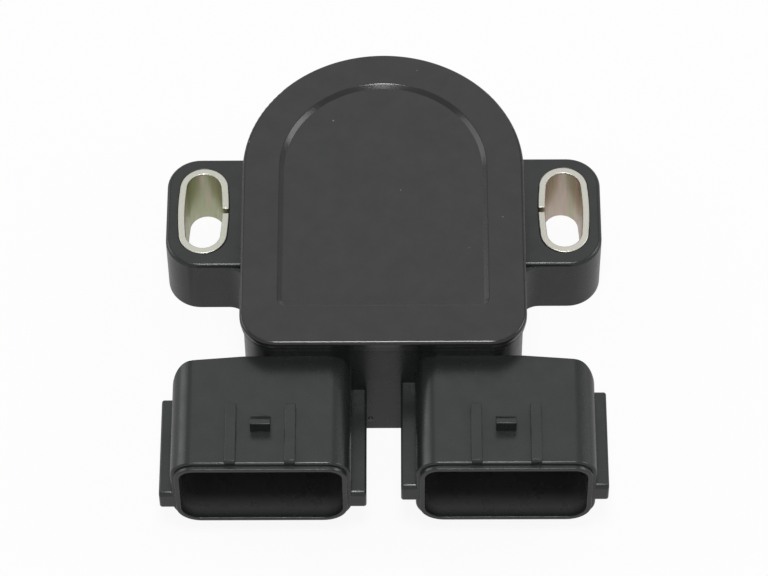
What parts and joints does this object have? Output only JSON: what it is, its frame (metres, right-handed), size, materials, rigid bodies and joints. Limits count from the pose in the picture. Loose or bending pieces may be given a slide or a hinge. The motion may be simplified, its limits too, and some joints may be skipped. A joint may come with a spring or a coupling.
{
  "type": "throttle position sensor",
  "caption": "Moulded throttle position sensor: D-shaped covered body with slotted steel-lined ears, a sprung rotor driven from the back, and two sealed three-way sockets.",
  "frame": {"origin": "on the rotor axis, in the plane of the mounting face at the back", "axes": "+Z out of the cover, away from the part it is bolted to; +Y towards the round end; the sockets open towards -Y and the ears lie along X"},
  "size_m": [0.0628, 0.0674, 0.0217],
  "materials": {
    "body_plastic": "satin moulded, charcoal",
    "cover_plastic": "satin moulded, charcoal",
    "seal_rubber": "matt",
    "plated_steel": "zinc plated with a pale yellow tint",
    "shaft_steel": "turned",
    "spring_steel": "drawn wire",
    "bush_bronze": "sintered",
    "carrier_plastic": "natural, moulded",
    "contact_bronze": "rolled",
    "board_laminate": "smooth",
    "carbon_ink": "printed",
    "silver_ink": "printed",
    "solder": "smooth",
    "tinned_brass": "tinned"
  },
  "bodies": {
    "root": {"housing": "body_plastic", "cover": "cover_plastic", "cover_seal": "seal_rubber", "bushing_left": "plated_steel", "bushing_right": "plated_steel", "shaft_seal": "seal_rubber", "rotor_bearing": "bush_bronze", "thrust_washer": "shaft_steel", "return_spring": "spring_steel", "resistor_board": "board_laminate", "resistor_track": "carbon_ink", "collector_track": "silver_ink", "switch_track": "silver_ink", "solder_joints": "solder", "sensor_terminal_1": "tinned_brass", "sensor_terminal_2": "tinned_brass", "sensor_terminal_3": "tinned_brass", "switch_terminal_1": "tinned_brass", "switch_terminal_2": "tinned_brass", "switch_terminal_3": "tinned_brass"},
    "rotor": {"rotor_shaft": "shaft_steel", "retaining_ring": "spring_steel", "wiper_carrier": "carrier_plastic", "sensor_brush": "contact_bronze", "switch_brush": "contact_bronze"}
  },
  "joints": [
    {"name": "rotor_turn", "type": "hinge", "parent": "root", "child": "rotor", "pos_m": [0, 0, 0], "axis": [0, 0, 1], "range_deg": [0, 95], "stiffness_Nm_per_rad": 0.004, "springref_deg": -45.84, "deforming": ["return_spring"]}
  ]
}
